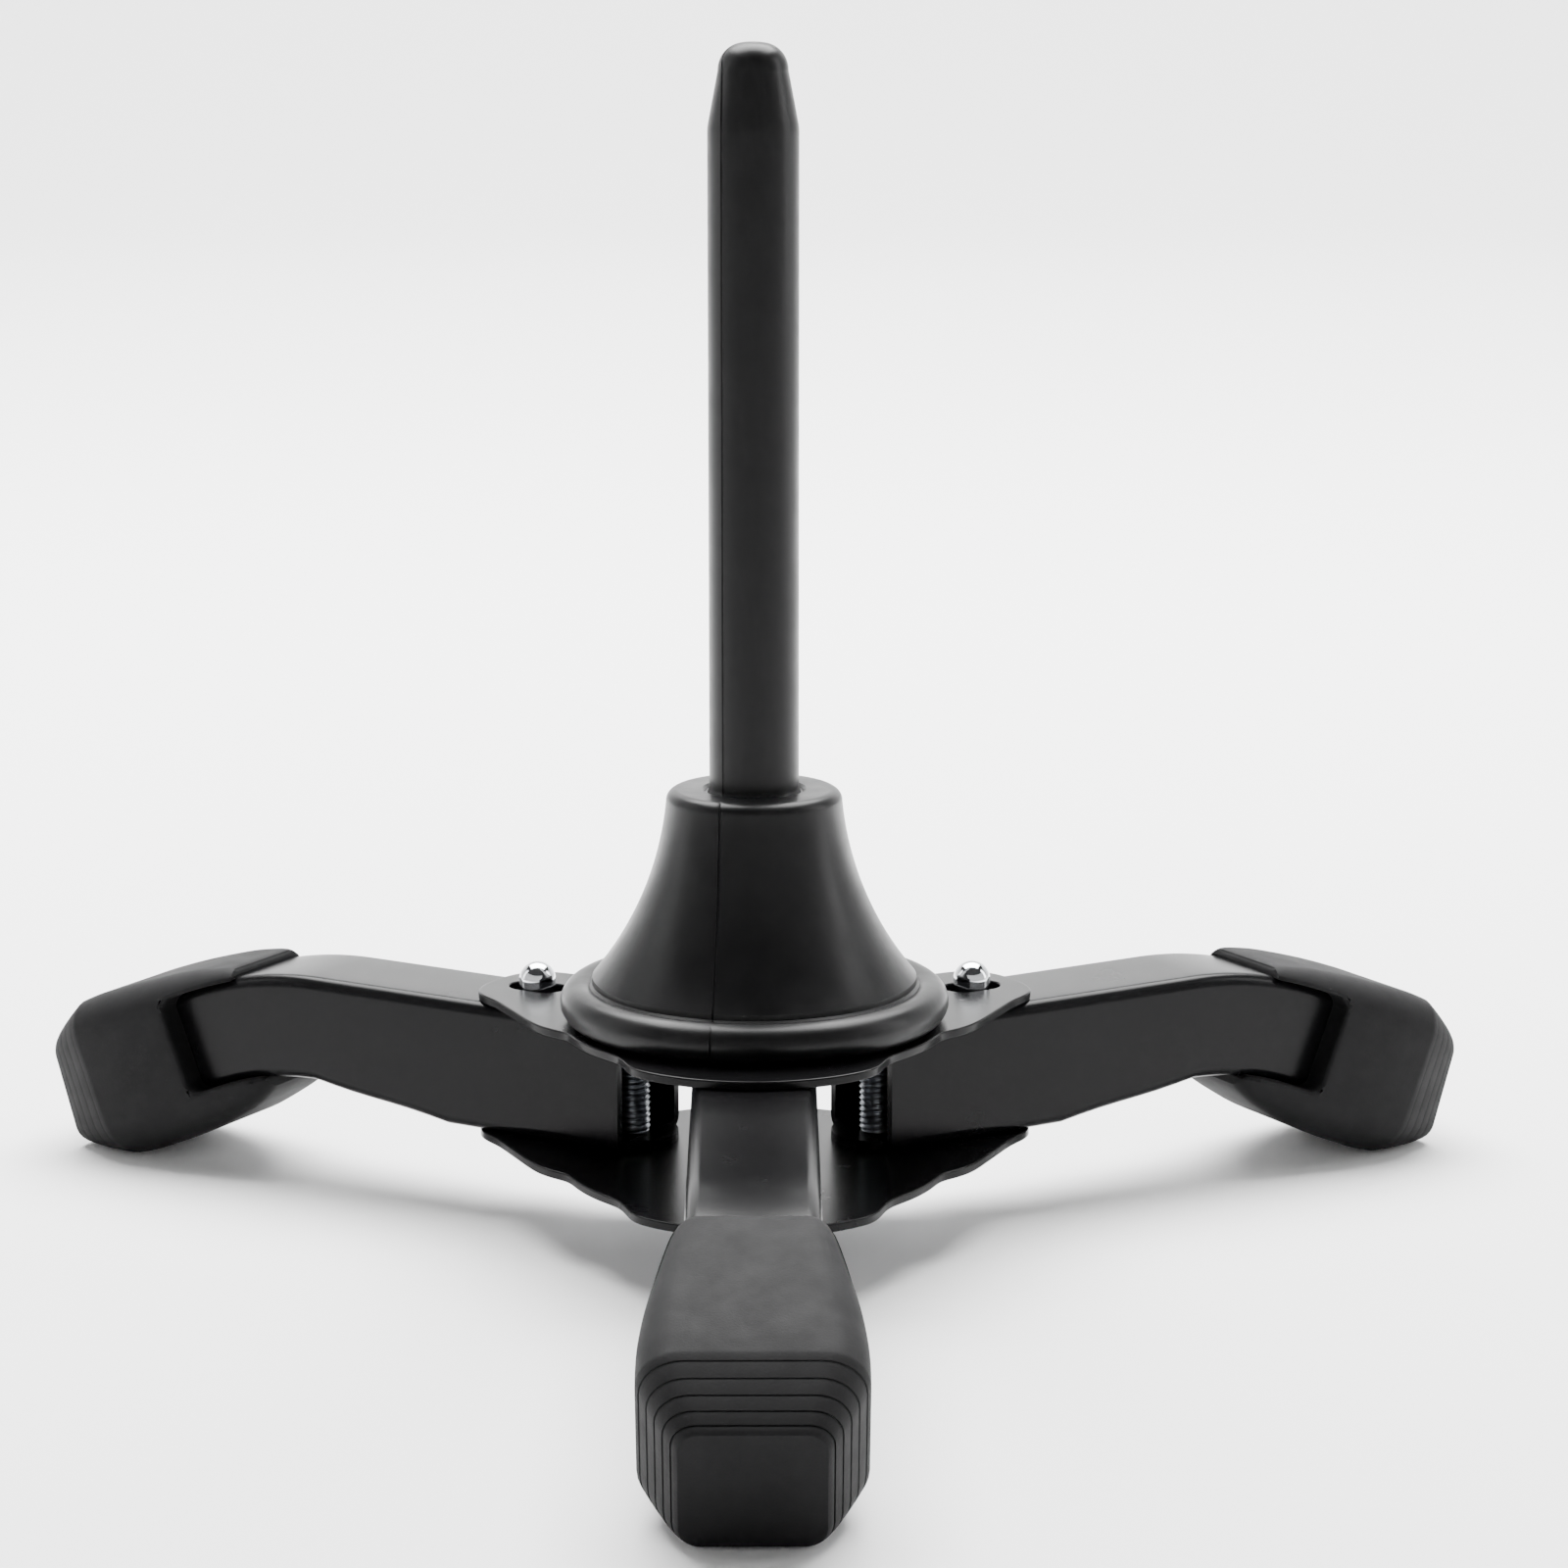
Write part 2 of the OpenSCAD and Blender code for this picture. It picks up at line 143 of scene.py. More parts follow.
def put(tree, kind, values=None, **settings):
    """Adds a node: settings are its own properties, values its inputs, as numbers or links."""
    node = tree.nodes.new(kind)
    for name, value in settings.items():
        setattr(node, name, value)
    for socket, value in (values or {}).items():
        if isinstance(value, bpy.types.NodeSocket):
            tree.links.new(value, node.inputs[socket])
        else:
            node.inputs[socket].default_value = value
    return node


def per_mm(millimetres):
    """Scale of a noise whose features are that long, on coordinates in metres."""
    return 1 / (millimetres * MM)


def finish_of(name, base, rough, patch_mm, grain_mm, grain_depth, shade=0.25, shader=None):
    """A material whose colour and roughness drift over patches and whose surface has a grain.

    rough is the lowest and highest roughness, grain_depth the height of the grain in mm, and
    shade how much darker the darkest patch is."""
    found = bpy.data.materials.get(name)
    if found:
        return found
    material = bpy.data.materials.new(name)
    material.use_nodes = True
    tree = material.node_tree
    tree.nodes.clear()
    place = put(tree, "ShaderNodeTexCoord").outputs["Object"]
    patch = put(tree, "ShaderNodeTexNoise", {
        "Vector": place, "Scale": per_mm(patch_mm), "Detail": 4.0, "Roughness": 0.6}).outputs["Fac"]
    grain = put(tree, "ShaderNodeTexNoise", {
        "Vector": place, "Scale": per_mm(grain_mm), "Detail": 2.0, "Roughness": 0.55}).outputs["Fac"]
    dark = tuple(c * (1 - shade) for c in base)
    tone = put(tree, "ShaderNodeMix", {
        "Factor": patch, 6: (*dark, 1), 7: (*base, 1)}, data_type="RGBA").outputs[2]
    gloss = put(tree, "ShaderNodeMapRange", {
        "Value": patch, "From Min": 0.3, "From Max": 0.7, "To Min": rough[0],
        "To Max": rough[1]}).outputs["Result"]
    bump = put(tree, "ShaderNodeBump", {
        "Height": grain, "Strength": 1.0, "Distance": grain_depth * MM}).outputs["Normal"]
    surface = put(tree, "ShaderNodeBsdfPrincipled", {
        "Base Color": tone, "Roughness": gloss, "Normal": bump, **(shader or {})})
    put(tree, "ShaderNodeOutputMaterial", {"Surface": surface.outputs["BSDF"]})
    return material


def moulded_abs():
    # ABS from a polished mould: broad soft highlights, with faint sink ripples. This and the
    # two finishes after it reflect less than the real ones, so that they stay black
    return finish_of("moulded_abs_satin", shades().moulding, (0.3, 0.42), 9, 0.7, 0.006, 0.3,
                     {"IOR": 1.5, "Specular IOR Level": 0.16})


def stoved_paint():
    # stoved paint on pressed steel: between gloss and satin, with a little orange peel
    return finish_of("stoved_gloss_paint", shades().paint, (0.24, 0.28), 18, 2.5, 0.003, 0.1,
                     {"IOR": 1.5, "Specular IOR Level": 0.1})


def moulded_rubber():
    # carbon-black rubber from a spark-eroded mould: matt, with a fine grain that is drawn
    # coarser than the real 0.1 mm so that it shows
    return finish_of("moulded_rubber_matt", shades().rubber, (0.66, 0.74), 5, 0.35, 0.03, 0.12,
                     {"IOR": 1.5, "Specular IOR Level": 0.15})


def chrome_plate():
    # polished chrome: mirror reflections with the faintest clouding
    return finish_of("polished_chrome_plate", shades().chrome, (0.05, 0.11), 3, 0.8, 0.001, 0.06,
                     {"Metallic": 1.0})


def zinc_plate():
    # bright zinc on cold-headed steel: soft metallic sheen with a mottled passivation
    return finish_of("bright_zinc_plate", shades().zinc, (0.28, 0.45), 2.5, 0.4, 0.006, 0.25,
                     {"Metallic": 1.0})


def spring_strip():
    # rolled spring strip: darker blued steel, smoother along its length
    return finish_of("blued_spring_strip", shades().spring, (0.25, 0.38), 4, 0.3, 0.004, 0.3,
                     {"Metallic": 1.0})


def turned_brass():
    # brass off the lathe: warm metal with fine tool marks
    return finish_of("turned_brass", shades().brass, (0.22, 0.34), 3, 0.35, 0.005, 0.2,
                     {"Metallic": 1.0})


def floor_card():
    # matt white card: even, hardly any gloss
    return finish_of("matt_white_card", shades().floor, (0.85, 0.95), 400, 30, 0.01, 0.01)


# ---- mesh helpers: shapes are drawn in millimetres, heights from the top plate's top face ----

def shades():
    return bpy.context.scene.peg_stand_colours


def fields(group):
    """The names of a group's own settings."""
    return [name for name in group.bl_rna.properties.keys() if name not in ("rna_type", "name")]


def sizes():
    """The user's sizes in millimetres, by name."""
    group = bpy.context.scene.peg_stand_sizes
    return {name: getattr(group, name) / MM for name in fields(group)}


def hub_frame(azimuth=0.0, reach=0.0):
    """The frame of a leg along azimuth, with its origin at that reach on the top plate."""
    return (Matrix.Translation((0, 0, HUB_Z)) @ Matrix.Rotation(math.radians(azimuth), 4, "Z")
            @ Matrix.Translation((reach, 0, 0)))


def end_frame():
    """The sloping end of a leg's tube, in the leg's frame."""
    return Matrix.Translation((END_X, 0, END_Z)) @ Matrix.Rotation(math.radians(DROOP), 4, "Y")


def spun(rings, count=72, closed=False, seam=None):
    """Turns rings of (height, radius) about Z. A radius may be a function of the angle and the
    height. closed joins the last ring to the first, else both ends are capped. seam is the
    offset from the axis, half width and depth of a line that runs down both sides."""
    rows = []
    for z, radius in rings:
        row = []
        for step in range(count):
            angle = 2 * math.pi * step / count
            lift = 0.0
            if seam:
                angle, lift = seam_angle(step, count, radius, seam)
            r = radius(angle, z) if callable(radius) else radius + lift
            row.append((r * math.cos(angle), r * math.sin(angle), z))
        rows.append(row)
    return lofted(rows, closed)


def seam_angle(step, count, radius, seam):
    """The angle of a point on a ring with a line at two opposite places, and its lift."""
    offset, half_width, depth = seam
    half = count // 2
    turn, k = divmod(step, half)
    foot = min(half_width / max(radius, 0.1), 0.04)
    # the parting plane passes beside the axis, a little farther off where the bell is wide
    start = -math.pi / 2 - math.asin(min(0.95, (offset + 0.08 * radius) / max(radius, 0.1)))
    if k == 0:
        local, lift = 0.0, -depth if radius > SEAM_END_R else 0.0
    else:
        local, lift = foot + (math.pi - 2 * foot) * (k - 1) / (half - 2), 0.0
    return start + turn * math.pi + local, lift


def lofted(rows, closed=False):
    """A skin over rows of points, all of one length, capped at both ends or joined in a ring."""
    bm = bmesh.new()
    rings = [[bm.verts.new(p) for p in row] for row in rows]
    pairs = list(zip(rings, rings[1:]))
    if closed:
        pairs.append((rings[-1], rings[0]))
    count = len(rows[0])
    for a, b in pairs:
        for i in range(count):
            j = (i + 1) % count
            bm.faces.new((a[i], a[j], b[j], b[i]))
    if not closed:
        bm.faces.new(list(reversed(rings[0])))
        bm.faces.new(rings[-1])
    return bm


def rounded_box(half, low, high, low_r, high_r, per_corner=6, per_side=3):
    """An outline across a leg: points (y, z) of a box with its own lower and upper radii."""
    corners = ((half, low, low_r, -90), (half, high, high_r, 0),
               (-half, high, high_r, 90), (-half, low, low_r, 180))
    points = []
    for y, z, r, start in corners:
        cy = y - math.copysign(r, y)
        cz = z - r if z == high else z + r
        for i in range(per_corner + 1):
            a = math.radians(start + 90 * i / per_corner)
            points.append(Vector((cy + r * math.cos(a), cz + r * math.sin(a))))
    full = []
    for i, p in enumerate(points):
        full.append(p)
        if (i + 1) % (per_corner + 1) == 0:
            q = points[(i + 1) % len(points)]
            full += [p.lerp(q, (k + 1) / (per_side + 1)) for k in range(per_side)]
    return full


def joined(*meshes):
    """One mesh of several, which are used up."""
    whole = bmesh.new()
    for bm in meshes:
        held = bpy.data.meshes.new("held")
        bm.to_mesh(held)
        bm.free()
        whole.from_mesh(held)
        bpy.data.meshes.remove(held)
    return whole


def moved(bm, matrix):
    bm.transform(matrix)
    return bm


def scratch_object(name, bm):
    mesh = bpy.data.meshes.new(name)
    bmesh.ops.recalc_face_normals(bm, faces=bm.faces)
    bm.to_mesh(mesh)
    bm.free()
    obj = bpy.data.objects.new(name, mesh)
    bpy.context.scene.collection.objects.link(obj)
    return obj


def apply_modifiers(obj):
    """Gives obj the mesh that its modifiers make, and takes them off."""
    bpy.context.view_layer.update()
    graph = bpy.context.evaluated_depsgraph_get()
    mesh = bpy.data.meshes.new_from_object(obj.evaluated_get(graph))
    old = obj.data
    obj.modifiers.clear()
    obj.data = mesh
    bpy.data.meshes.remove(old)


def cut_away(obj, cutter):
    """Cuts one solid out of another and removes the cutter."""
    cut = obj.modifiers.new("cut", "BOOLEAN")
    cut.operation = "DIFFERENCE"
    cut.solver = "EXACT"
    cut.object = cutter
    apply_modifiers(obj)
    bpy.data.objects.remove(cutter)


def soften(obj, width, angle):
    """Rounds the edges of an object that turn more than angle."""
    edge = obj.modifiers.new("edge", "BEVEL")
    edge.limit_method = "ANGLE"
    edge.angle_limit = math.radians(angle)
    edge.width = width
    edge.segments = 3
    edge.use_clamp_overlap = False
    apply_modifiers(obj)


def smooth_shading(obj, angle=38):
    """Shades faces smooth and keeps the edges that turn more than angle sharp."""
    bm = bmesh.new()
    bm.from_mesh(obj.data)
    limit = math.radians(angle)
    for face in bm.faces:
        face.smooth = True
    for edge in bm.edges:
        edge.smooth = len(edge.link_faces) == 2 and edge.calc_face_angle(0) < limit
    bm.to_mesh(obj.data)
    bm.free()
    weigh = obj.modifiers.new("weigh", "WEIGHTED_NORMAL")
    weigh.keep_sharp = True
    apply_modifiers(obj)


def piece(name, bm, matrix, body, material, nodes, sharp=38):
    """Makes a piece of the stand from a mesh in millimetres and puts it in the CAD frame."""
    obj = scratch_object(name, bm)
    obj.data.transform(Matrix.Scale(MM, 4) @ matrix)
    smooth_shading(obj, sharp)
    fit_out(obj, body, material, nodes)


def fit_out(obj, body, material, nodes):
    """Gives a piece its material, its body and the CAD pieces that it stands for."""
    obj.data.materials.clear()
    obj.data.materials.append(material)
    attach(obj, body)
    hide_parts(*nodes)


# ---- peg and bell ----

BELL_H = 39.2
BELL_TOP_R = 14.6
BEAD_R = 3.3
CROWN_R = 2.0
FLANK_R = 54.7
BELL_WALL = 2.4
ROOF_T = 12.0           # from the bell's crown down to its hollow
MOUTH_H = 3.0           # height of the hollow's straight mouth
FLANK_FOOT = (5.4, 7.5)  # where the flank starts: in from the rim, and up
BOSS_R = 9.0
PEG_R = 7.4
TIP_R = 5.7
TIP_LEN = 13.6
DOME = 4.6
SEAM_OFFSET = 4.5       # how far beside the axis the mould parted
SEAM_END_R = 2.0        # the line stops this near the axis, on the peg's tip


def arc(centre, radius, start, end, steps):
    """Points (r, z) on an arc, from one angle to another in degrees."""
    angles = [math.radians(start + (end - start) * i / steps) for i in range(steps + 1)]
    return [(centre[0] + radius * math.cos(a), centre[1] + radius * math.sin(a)) for a in angles]


def bell_profile():
    """The outline (r, z) from the boss, round the hollow and the rim, up to the peg's foot."""
    bead = (RIM_R - BEAD_R, BEAD_R)
    low = Vector((RIM_R - FLANK_FOOT[0], FLANK_FOOT[1]))
    top = Vector((BELL_TOP_R, BELL_H - CROWN_R - 0.2))
    chord = low - top
    reach = math.sqrt(FLANK_R ** 2 - (chord.length / 2) ** 2)
    centre = (low + top) / 2 + Vector((-chord.y, chord.x)).normalized() * reach
    first = math.degrees(math.atan2(low.y - centre.y, low.x - centre.x)) % 360
    last = math.degrees(math.atan2(top.y - centre.y, top.x - centre.x)) % 360
    crown = (BELL_TOP_R - CROWN_R, BELL_H - CROWN_R)
    foot = PEG_R + 0.9
    roof = BELL_H - ROOF_T
    mouth = bead[0] + 0.1
    inner = FLANK_R + BELL_WALL
    hollow = [(BOSS_R, 0.02), (BOSS_R, roof)]
    hollow += [(centre.x - math.sqrt(inner ** 2 - (z - centre.y) ** 2), z)
               for z in [roof + (low.y - roof) * i / 12 for i in range(13)]]
    return (hollow + [(mouth, MOUTH_H), (mouth, 0.02)]
            + arc(bead, BEAD_R - 0.02, -84, 118, 22)
            + [(low.x + 0.1, low.y - 0.9), (low.x + 0.02, low.y - 0.35)]
            + arc(centre, FLANK_R, first, last, 40)
            + arc(crown, CROWN_R, 8, 90, 8)
            + [(foot + 0.9, BELL_H), (foot + 0.35, BELL_H), (foot, BELL_H - 0.25)]
            + [(foot - 0.2, BELL_H - 0.55), (foot - 0.55, BELL_H - 0.55)]
            + [(PEG_R + 0.1, BELL_H - 0.2)])


def peg_profile():
    shoulder = PEG_TOP - TIP_LEN
    tip = PEG_TOP - DOME
    ring = [(PEG_R, BELL_H + 0.3), (PEG_R, BELL_H + 1)]
    ring += [(PEG_R, BELL_H + 1 + (shoulder - BELL_H - 1.6) * i / 12) for i in range(1, 13)]
    ring += [(PEG_R - 0.02, shoulder), (PEG_R - 0.12, shoulder + 0.7)]
    lean = (TIP_R - PEG_R + 0.12) / (tip - shoulder - 0.7)
    ring += [(PEG_R - 0.12 + lean * h, shoulder + 0.7 + h)
             for h in [(tip - shoulder - 0.7) * i / 5 for i in range(1, 6)]]
    dome = [(TIP_R * math.cos(a) ** 0.75, tip + DOME * math.sin(a))
            for a in [math.radians(6 * i) for i in range(1, 15)]]
    return ring + dome + [(0.25, PEG_TOP)]


class PEGSTAND_OT_peg_and_bell(bpy.types.Operator):
    """Make the peg and its bell, one moulding with a parting line along both sides"""
    bl_idname = "pegstand.peg_and_bell"
    bl_label = "Peg and Bell"

    def execute(self, context):
        mm = sizes()
        seam = (SEAM_OFFSET, mm["seam_width"], mm["seam_depth"])
        rings = [(z, r) for r, z in bell_profile() + peg_profile()]
        piece("peg_and_bell_moulding", spun(rings, 132, seam=seam), hub_frame(), "stand",
              moulded_abs(), ["peg_and_bell"], sharp=33)
        return {"FINISHED"}


# ---- hub plates ----

def pressed_copy(name, node, body, material, width):
    """A copy of a CAD piece bent from strip, with its cut edges rounded."""
    bm = bmesh.new()
    bm.from_mesh(frame["nodes"][node].data)
    bmesh.ops.remove_doubles(bm, verts=bm.verts, dist=0.002 * MM)
    bmesh.ops.dissolve_limit(bm, angle_limit=math.radians(1), verts=bm.verts, edges=bm.edges)
    obj = scratch_object(name, bm)
    soften(obj, width * MM, 50)
    smooth_shading(obj)
    fit_out(obj, body, material, [node])


def top_loops(bm):
    """The closed outlines of a flat piece's top face, the longest first, as lists of points."""
    rim = [e for e in bm.edges if len(e.link_faces) == 2
           and sorted(f.normal.z > 0.99 for f in e.link_faces) == [False, True]]
    near = {}
    for edge in rim:
        for vert in edge.verts:
            near.setdefault(vert, []).append(edge.other_vert(vert))
    loops = []
    left = set(near)
    while left:
        start = left.pop()
        loop, at = [start], near[start][0]
        while at in left:
            left.remove(at)
            loop.append(at)
            at = next((v for v in near[at] if v in left), start)
        loops.append([v.co.copy() for v in loop])

    def length(points):
        return sum((a - b).length for a, b in zip(points, points[1:] + points[:1]))
    return sorted(loops, key=length, reverse=True)


def eased_outline(points, spacing, passes):
    """The outline with points at even spacing and its corners drawn into curves."""
    even = []
    for a, b in zip(points, points[1:] + points[:1]):
        count = max(1, round((b - a).length / spacing))
        even += [a.lerp(b, i / count) for i in range(count)]
    for _ in range(passes):
        even = [(even[i - 1] + 2 * p + even[(i + 1) % len(even)]) / 4 for i, p in enumerate(even)]
    return even


def punched_plate(name, node, mm):
    """A hub plate: the CAD plate's holes inside its outline, whose corners flow into curves."""
    cad = bmesh.new()
    cad.from_mesh(frame["nodes"][node].data)
    bmesh.ops.remove_doubles(cad, verts=cad.verts, dist=0.002 * MM)
    loops = top_loops(cad)
    cad.free()
    loops[0] = eased_outline(loops[0], 0.6 * MM, 26)
    bm = bmesh.new()
    edges = []
    for loop in loops:
        ring = [bm.verts.new(p) for p in loop]
        edges += [bm.edges.new((a, b)) for a, b in zip(ring, ring[1:] + ring[:1])]
    bmesh.ops.triangle_fill(bm, use_beauty=True, use_dissolve=True, edges=edges)
    made = bmesh.ops.extrude_face_region(bm, geom=list(bm.faces))["geom"]
    for vert in [g for g in made if isinstance(g, bmesh.types.BMVert)]:
        vert.co.z -= PLATE_T * MM
    obj = scratch_object(name, bm)
    soften(obj, mm["plate_edge"] * MM, 60)
    smooth_shading(obj)
    fit_out(obj, "stand", stoved_paint(), [node])


class PEGSTAND_OT_hub_plates(bpy.types.Operator):
    """Make the hub's two punched plates"""
    bl_idname = "pegstand.hub_plates"
    bl_label = "Hub Plates"

    def execute(self, context):
        for node in ("top_plate", "bottom_plate"):
            punched_plate("punched_" + node, node, sizes())
        return {"FINISHED"}


# ---- legs ----

def tube_stations(start, low):
    """Along a leg: the middle of the tube, its upward direction and half its height."""
    stations = []
    for i in range(5):
        x = start + (SLIM_START - start) * i / 4
        stations.append((Vector((x, 0, (TUBE_TOP + low) / 2)), 0.0, (TUBE_TOP - low) / 2))
    bend_low = BEND_Z - BEND_H / 2
    for i in range(1, 8):
        k = i / 7
        # the underside eases into its slope and out of it
        floor = low + (bend_low - low) * (k + 0.08 * math.sin(2 * math.pi * k) / 2)
        x = SLIM_START + (BEND_START - SLIM_START) * k
        stations.append((Vector((x, 0, (TUBE_TOP + floor) / 2)), 0.0, (TUBE_TOP - floor) / 2))
    for i in range(1, 33):
        a = math.radians(DROOP * i / 32)
        middle = Vector((BEND_START + BEND_R * math.sin(a), 0, BEND_Z - BEND_R * (1 - math.cos(a))))
        stations.append((middle, a, BEND_H / 2))
    bend_end, slope, half = stations[-1]
    along = Vector((math.cos(slope), 0, -math.sin(slope)))
    for i in range(1, 4):
        stations.append((bend_end + along * END_LEN * i / 3, slope, half))
    return stations


def tube_rows(stations, corner, inset=0.0):
    rows = []
    for middle, lean, half in stations:
        up = Vector((math.sin(lean), 0, math.cos(lean)))
        outline = rounded_box(LEG_W / 2 - inset, -half + inset, half - inset, corner, corner)
        rows.append([middle + Vector((0, y, 0)) + up * z for y, z in outline])
    return rows


def leg_tube(start, low, corner):
    """The tube of a leg, hollow and open at both ends."""
    stations = tube_stations(start, low)
    outer = tube_rows(stations, corner)
    inner = tube_rows(stations, max(corner - LEG_WALL, 0.5), LEG_WALL)
    return lofted(outer + inner[::-1], closed=True)


EAR_R = 7.8
EAR_BACK = 4.0


def leg_ear(height):
    """A round ear of a tube wall about the pivot, with the bolt's hole in it."""
    def outline(angle, _z):
        if math.cos(angle) <= 0:
            return EAR_R
        return min(EAR_R / max(abs(math.sin(angle)), 1e-6), EAR_BACK / max(math.cos(angle), 1e-6))
    top = height + LEG_WALL
    rings = [(height, outline), (top, outline), (top, BORE_R), (height, BORE_R)]
    return moved(spun(rings, closed=True), Matrix.Translation((PIVOT_REACH, 0, 0)))


class PEGSTAND_OT_legs(bpy.types.Operator):
    """Make the three bent tube legs, the side ones with ears about their pivots"""
    bl_idname = "pegstand.legs"
    bl_label = "Legs"

    def execute(self, context):
        corner = sizes()["tube_corner"]
        tube = leg_tube(FRONT_TUBE_START, GAP_FLOOR, corner)
        piece("front_leg_tube", tube, hub_frame(FRONT), "stand", stoved_paint(),
              ["front_leg"])
        low = GAP_FLOOR + FOLD_PLAY
        for side, azimuth in SIDES:
            tube = leg_tube(PIVOT_REACH - SIDE_TUBE_BACK, low, corner)
            ears = [leg_ear(low), leg_ear(TUBE_TOP - LEG_WALL)]
            piece(side + "_leg_tube", joined(tube, *ears), hub_frame(azimuth), side + "_leg",
                  stoved_paint(), [side + "_leg"])
        return {"FINISHED"}


# ---- feet ----

LIP_X = -10.0
WINDOW_X = 4.0
NOSE_X = 23.5
NOSE_END = 35.8
RIBS = 5

# the foot's outline: distance along the tube's end, half width, underside, top, lower and
# upper corner radii
FOOT_SECTIONS = (
    (LIP_X, 10.35, -12.0, 9.9, 3.0, 2.6),
    (LIP_X + 1.2, 11.2, -12.9, 10.5, 3.6, 3.2),
    (LIP_X + 4, 12.3, -14.0, 11.2, 4.6, 4.2),
    (-2, 13.3, -14.9, 12.0, 5.6, 5.2),
    (WINDOW_X, 14.5, -15.9, 12.7, 6.4, 6.0),
    (10, 15.5, -16.3, 13.2, 7.2, 6.4),
    (16, 16.15, -16.38, 13.5, 7.8, 6.6),
    (20, 16.28, -16.38, 13.58, 8.0, 6.6),
    (NOSE_X, 16.25, -16.0, 13.4, 8.0, 6.5))
PAD_SECTION = (NOSE_END, 10.2, -10.8, 8.2, 3.0, 3.0)
PAD_LEAN = 1.4          # how far the pad's top leans back
WINDOW_BACK = -24.0     # the cutter starts behind the foot
WINDOW_EDGE = BEND_H / 2 - 0.5
WINDOW_R = 2.2
HULL_START = 60.0       # the part of a tube that lies inside its foot starts before this


def foot_row(section):
    x, half, low, high, low_r, high_r = section
    return [Vector((x, y, z)) for y, z in rounded_box(half, low, high, low_r, high_r, 8, 8)]


def eased(sections, between):
    """More sections on a smooth curve through the given ones."""
    full = []
    for i in range(len(sections) - 1):
        p0, p1, p2, p3 = (Vector(sections[max(0, min(len(sections) - 1, i + k))])
                          for k in (-1, 0, 1, 2))
        for step in range(between):
            t = step / between
            full.append(tuple(p1 + (p2 - p0) * (t / 2)
                              + (2 * p0 - 5 * p1 + 4 * p2 - p3) * (t * t / 2)
                              + (3 * p1 - p0 - 3 * p2 + p3) * (t ** 3 / 2)))
    return full + [tuple(sections[-1])]


def nose_rows(rib_depth):
    """From the nose's rim to its pad: a slope with a groove at each rib."""
    rim = Vector(FOOT_SECTIONS[-1])
    pad = Vector(PAD_SECTION)
    rows = []
    marks = [(i + 0.55) / (RIBS + 0.35) for i in range(RIBS)]
    stops = sorted([(m - 0.03, 0) for m in marks] + [(m, 1) for m in marks]
                   + [(m + 0.02, 0) for m in marks] + [(0.94, 0), (0.985, 0.0), (1.0, 0)])
    for t, groove in stops:
        row = rim.lerp(pad, t)
        # the slope bulges a little, so that the nose is round from the side
        row[0] = rim[0] + (pad[0] - rim[0]) * (1 - (1 - t) ** 1.25)
        row[0] -= rib_depth * groove
        points = foot_row(tuple(row))
        for p in points:
            p.x -= PAD_LEAN * t * (p.z - row[2]) / (row[3] - row[2])
        rows.append(points)
    return rows


def tube_edge(x, offset):
    """Height of the tube's top (offset > 0) or underside at x, before and past the bend's end."""
    r = BEND_R + offset
    return offset if x >= 0 else math.sqrt(r * r - x * x) - BEND_R


def window_cutter():
    """What bares the tube's sides: the tube's side view up to the window's end, across the foot."""
    edge, r = WINDOW_EDGE, WINDOW_R
    xs = [WINDOW_BACK + (WINDOW_X - r - WINDOW_BACK) * i / 14 for i in range(15)]
    corner = [(WINDOW_X - r + r * math.sin(a), edge - r + r * math.cos(a))
              for a in [math.radians(15 * i) for i in range(1, 6)]]
    top = [(x, tube_edge(x, edge)) for x in xs] + corner + [(WINDOW_X, edge - r)]
    bottom = [(x, tube_edge(x, -edge)) for x in xs]
    bottom += [(x, -z) for x, z in corner] + [(WINDOW_X, r - edge)]
    outline = top + bottom[::-1]
    return lofted([[Vector((x, y, z)) for x, z in outline] for y in (-30.0, 30.0)])


def foot_mesh(mm):
    """The foot in the frame of the tube's sloping end."""
    rows = [foot_row(s) for s in eased(FOOT_SECTIONS, 4)] + nose_rows(mm["rib_depth"])
    foot = scratch_object("foot", lofted(rows))
    to_end = end_frame().inverted()
    tube = lofted(tube_rows(tube_stations(HULL_START, GAP_FLOOR), mm["tube_corner"]))
    cut_away(foot, scratch_object("tube", moved(tube, to_end)))
    cut_away(foot, scratch_object("window", window_cutter()))
    bm = bmesh.new()
    bm.from_mesh(foot.data)
    bpy.data.objects.remove(foot)
    # only the lips and windows are rounded, not the ribs
    lips = [e for e in bm.edges if e.calc_face_angle(0) > math.radians(58)
            and max(v.co.x for v in e.verts) < WINDOW_X + 1]
    bmesh.ops.bevel(bm, geom=lips, offset=mm["lip_round"], segments=3, profile=0.5,
                    affect="EDGES", clamp_overlap=False)
    return bm


class PEGSTAND_OT_feet(bpy.types.Operator):
    """Make the three rubber feet, with their windows and ribbed noses"""
    bl_idname = "pegstand.feet"
    bl_label = "Feet"

    def execute(self, context):
        for name, azimuth, body in (("front", FRONT, "stand"), ("left", LEFT, "left_leg"),
                                    ("right", RIGHT, "right_leg")):
            piece(name + "_rubber_foot", foot_mesh(sizes()), hub_frame(azimuth) @ end_frame(),
                  body, moulded_rubber(), [name + "_foot"])
        return {"FINISHED"}


# ---- lock buttons and springs ----

BUTTON_REACH = 43.1
BUTTON_R = 3.175
FLANGE_R = 4.6
FLANGE_T = 1.2


